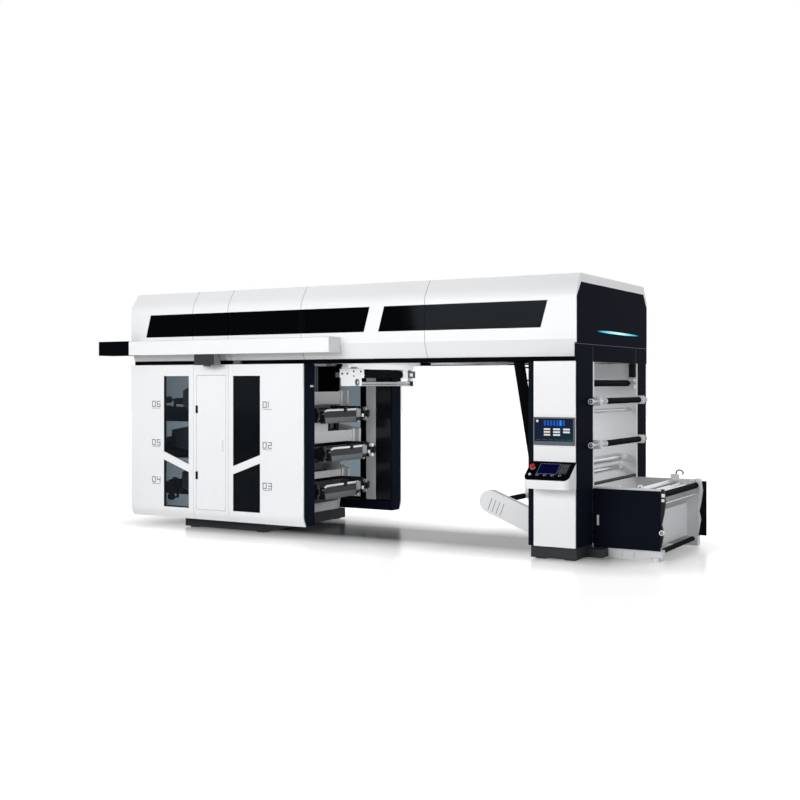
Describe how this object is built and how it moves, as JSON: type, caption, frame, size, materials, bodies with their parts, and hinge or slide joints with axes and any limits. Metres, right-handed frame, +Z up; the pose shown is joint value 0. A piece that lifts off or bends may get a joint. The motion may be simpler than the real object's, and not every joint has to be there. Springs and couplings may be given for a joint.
{
  "type": "flexographic printing press",
  "caption": "Roll-fed flexographic press: enclosed central-drum printing unit, overhead drying hood, control tower and low winding unit.",
  "frame": {"origin": "middle of the footprint box, on the floor", "axes": "+X along the press from the printing unit to the control tower, +Y from the operator's side to the rear, +Z up"},
  "size_m": [9.1, 3.22, 3.75],
  "materials": {
    "white_paint": "satin powder coat",
    "navy_paint": "satin powder coat",
    "dark_paint": "satin",
    "light_paint": "satin",
    "chromed_steel": "ground",
    "black_rubber": "ground",
    "tinted_glass": "tinted"
  },
  "bodies": {
    "press": {"anilox_rollers": "chromed_steel", "console_body": "white_paint", "console_top": "navy_paint", "control_screen": "navy_paint", "cover_front_left": "white_paint", "cover_front_right": "white_paint", "cover_glass": "tinted_glass", "cover_liner_front": "navy_paint", "cover_liner_rear": "navy_paint", "cover_rear": "white_paint", "deck_1": "dark_paint", "deck_2": "dark_paint", "deck_3": "dark_paint", "deck_4": "dark_paint", "deck_5": "dark_paint", "deck_6": "dark_paint", "deck_trays": "light_paint", "door_posts": "white_paint", "door_rails": "white_paint", "end_panel": "navy_paint", "hood_beams": "navy_paint", "hood_crossbeams": "light_paint", "hood_dryer": "dark_paint", "hood_glass": "tinted_glass", "hood_section_1": "white_paint", "hood_section_2": "white_paint", "hood_section_3": "white_paint", "hood_section_4": "white_paint", "hood_section_5": "white_paint", "impression_drum": "chromed_steel", "plate_rollers": "black_rubber", "rail_cover": "white_paint", "rail_tip": "navy_paint", "rail_track": "dark_paint", "tower_base": "dark_paint", "tower_column_front": "navy_paint", "tower_column_rear": "navy_paint", "tower_gussets": "navy_paint", "tower_inner_rollers": "light_paint", "tower_panels": "white_paint", "tower_side_plates": "light_paint", "transfer_frame": "light_paint", "unit_base": "dark_paint", "unit_frame_front": "light_paint", "unit_frame_rear": "light_paint", "winder_base": "light_paint", "winder_cover_rear": "navy_paint", "winder_cross_panel": "light_paint", "winder_idlers": "chromed_steel", "winder_side_plates": "light_paint"},
    "cabinet_door": {"cabinet_door": "white_paint"},
    "winder_door": {"winder_door": "navy_paint"},
    "swing_arm": {"swing_arm": "light_paint"},
    "tower_roller_upper": {"tower_roller_upper": "black_rubber"},
    "tower_roller_lower": {"tower_roller_lower": "black_rubber"},
    "tower_nip_roller": {"tower_nip_roller": "black_rubber"},
    "winder_roller_top": {"winder_roller_top": "black_rubber"},
    "winder_roller_bottom": {"winder_roller_bottom": "black_rubber"},
    "transfer_roller": {"transfer_roller": "black_rubber"},
    "hoist_trolley": {"hoist_trolley": "dark_paint"}
  },
  "joints": [
    {"name": "service_door_hinge", "type": "hinge", "parent": "press", "child": "cabinet_door", "pos_m": [-2.7665, -1.3193, 1.389], "axis": [0, 0, -1], "range_deg": [0, 110]},
    {"name": "winder_door_hinge", "type": "hinge", "parent": "press", "child": "winder_door", "pos_m": [4.443, -0.702, 0.52], "axis": [0, 0, 1], "range_deg": [0, 110]},
    {"name": "swing_arm_pivot", "type": "hinge", "parent": "press", "child": "swing_arm", "pos_m": [3.11, 0.23, 0.205], "axis": [0, 1, 0], "range_deg": [-8, 35]},
    {"name": "tower_roller_upper_spin", "type": "hinge", "parent": "press", "child": "tower_roller_upper", "pos_m": [3.592, 0.23, 2.07], "axis": [0, 1, 0], "continuous": true},
    {"name": "tower_roller_lower_spin", "type": "hinge", "parent": "press", "child": "tower_roller_lower", "pos_m": [3.592, 0.23, 1.495], "axis": [0, 1, 0], "continuous": true},
    {"name": "tower_nip_roller_spin", "type": "hinge", "parent": "press", "child": "tower_nip_roller", "pos_m": [3.42, 0.23, 2.312], "axis": [0, 1, 0], "continuous": true},
    {"name": "winder_roller_top_spin", "type": "hinge", "parent": "press", "child": "winder_roller_top", "pos_m": [4.415, 0.23, 0.85], "axis": [0, 1, 0], "continuous": true},
    {"name": "winder_roller_bottom_spin", "type": "hinge", "parent": "press", "child": "winder_roller_bottom", "pos_m": [4.395, 0.23, 0.1], "axis": [0, 1, 0], "continuous": true},
    {"name": "transfer_roller_spin", "type": "hinge", "parent": "press", "child": "transfer_roller", "pos_m": [-0.32, 0.215, 2.45], "axis": [0, 1, 0], "continuous": true},
    {"name": "trolley_travel", "type": "slide", "parent": "press", "child": "hoist_trolley", "axis": [1, 0, 0], "range_m": [-1.25, 2.05]}
  ]
}
